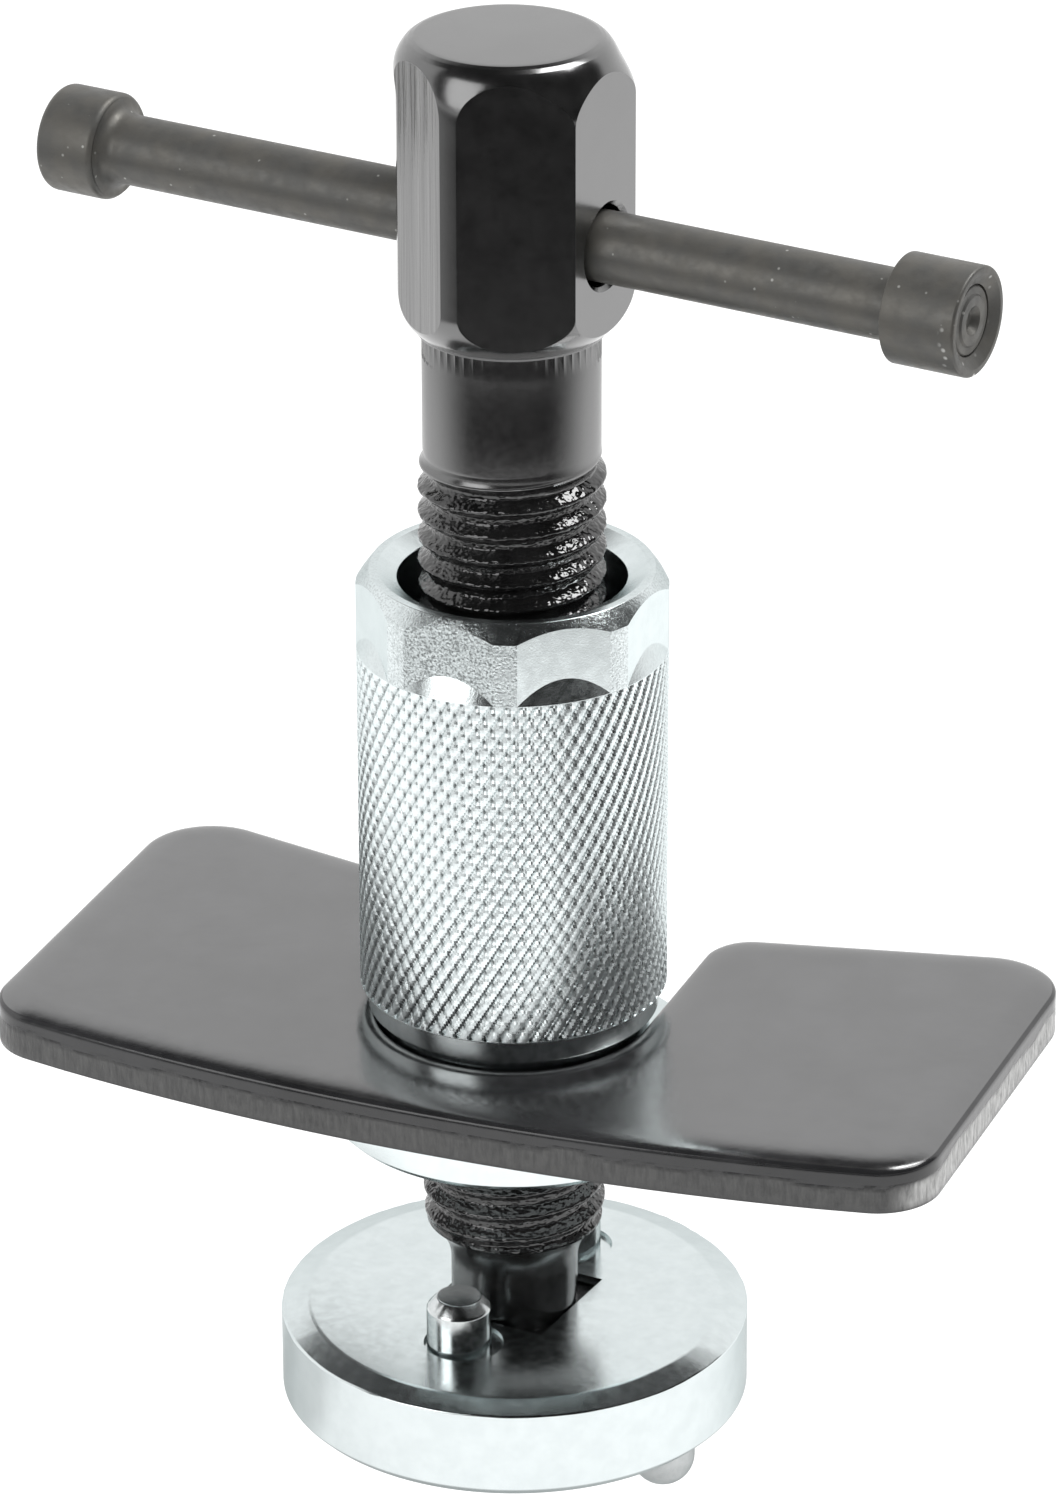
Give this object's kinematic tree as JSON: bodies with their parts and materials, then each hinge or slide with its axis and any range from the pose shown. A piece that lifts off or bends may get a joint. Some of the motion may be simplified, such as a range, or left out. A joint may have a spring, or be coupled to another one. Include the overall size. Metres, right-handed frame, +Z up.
{
  "type": "brake caliper piston tool",
  "caption": "Screw spindle with sliding tommy bar and pin adapter that presses and turns a brake piston back, with a knurled thrust nut and a slotted plate that bears on the caliper.",
  "frame": {"origin": "centre of the adapter disc's lower face, midway between the two lower pins", "axes": "+Z up the spindle towards the hexagon head; X along the plate's length; +Y out of the plate's slot"},
  "size_m": [0.099, 0.0518, 0.1495],
  "materials": {
    "plate_paint": "black paint, semi-gloss, over punched steel",
    "spindle_paint": "black lacquer, glossy",
    "zinc_plate": "bright zinc plating, bluish, satin to bright",
    "pin_zinc": "bright zinc plating on turned pins",
    "oiled_steel": "dark oiled steel, satin",
    "magnet_nickel": "nickel plated"
  },
  "bodies": {
    "plate": {"reaction_plate": "plate_paint"},
    "nut": {"thrust_nut": "zinc_plate"},
    "screw_carriage": {"adapter_magnet": "magnet_nickel"},
    "spindle": {"spindle": "spindle_paint", "hex_head": "spindle_paint"},
    "bar": {"tommy_bar": "oiled_steel", "bar_end_collar": "oiled_steel"},
    "adapter": {"adapter_disc": "zinc_plate", "upper_pin_front": "pin_zinc", "upper_pin_rear": "pin_zinc", "lower_pin_left": "pin_zinc", "lower_pin_right": "pin_zinc"}
  },
  "joints": [
    {"name": "nut_spin", "type": "hinge", "parent": "plate", "child": "nut", "pos_m": [0, 0, 0.04], "axis": [0, 0, 1], "continuous": true},
    {"name": "spindle_feed", "type": "slide", "parent": "nut", "child": "screw_carriage", "axis": [0, 0, -1], "range_m": [-0.0151, 0.0238]},
    {"name": "spindle_turn", "type": "hinge", "parent": "screw_carriage", "child": "spindle", "pos_m": [0, 0, 0.06], "axis": [0, 0, -1], "range_deg": [-2160, 3420]},
    {"name": "bar_slide", "type": "slide", "parent": "spindle", "child": "bar", "axis": [0.9893, -0.1461, 0], "range_m": [-0.0305, 0.0305]},
    {"name": "adapter_pull", "type": "slide", "parent": "spindle", "child": "adapter", "axis": [0, 0, -1], "range_m": [0, 0.012]}
  ],
  "couplings": [
    {"joint": "spindle_feed", "follows": "spindle_turn", "m_per_rad": 0.00039789}
  ]
}
